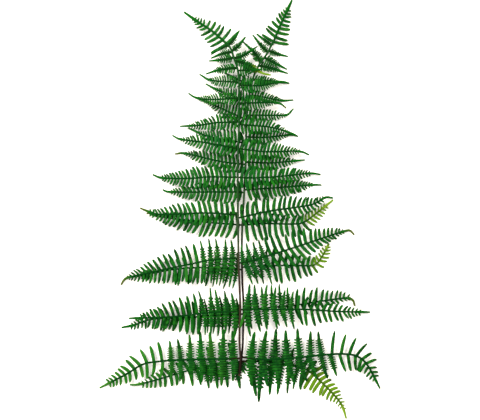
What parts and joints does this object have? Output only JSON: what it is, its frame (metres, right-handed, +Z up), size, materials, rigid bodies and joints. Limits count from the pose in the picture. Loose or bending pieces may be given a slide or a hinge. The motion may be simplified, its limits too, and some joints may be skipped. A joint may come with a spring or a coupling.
{
  "type": "bracken frond",
  "caption": "Cut bracken frond lying flat: a forked stalk with leafy side fronds in rows on both sides, lobed near the stalk and plain further out, under two tapering crowns.",
  "frame": {"origin": "middle of the frond's outline on the surface it lies on", "axes": "+Y from the cut foot towards the crowns, +X to the right of the frond seen from above, +Z up from the surface"},
  "size_m": [0.4777, 0.6976, 0.0208],
  "materials": {
    "frond_green": "satin",
    "stalk_brown": "satin",
    "frond_yellow": "satin"
  },
  "bodies": {
    "root": {"bracken_frond": "frond_green"}
  },
  "joints": []
}
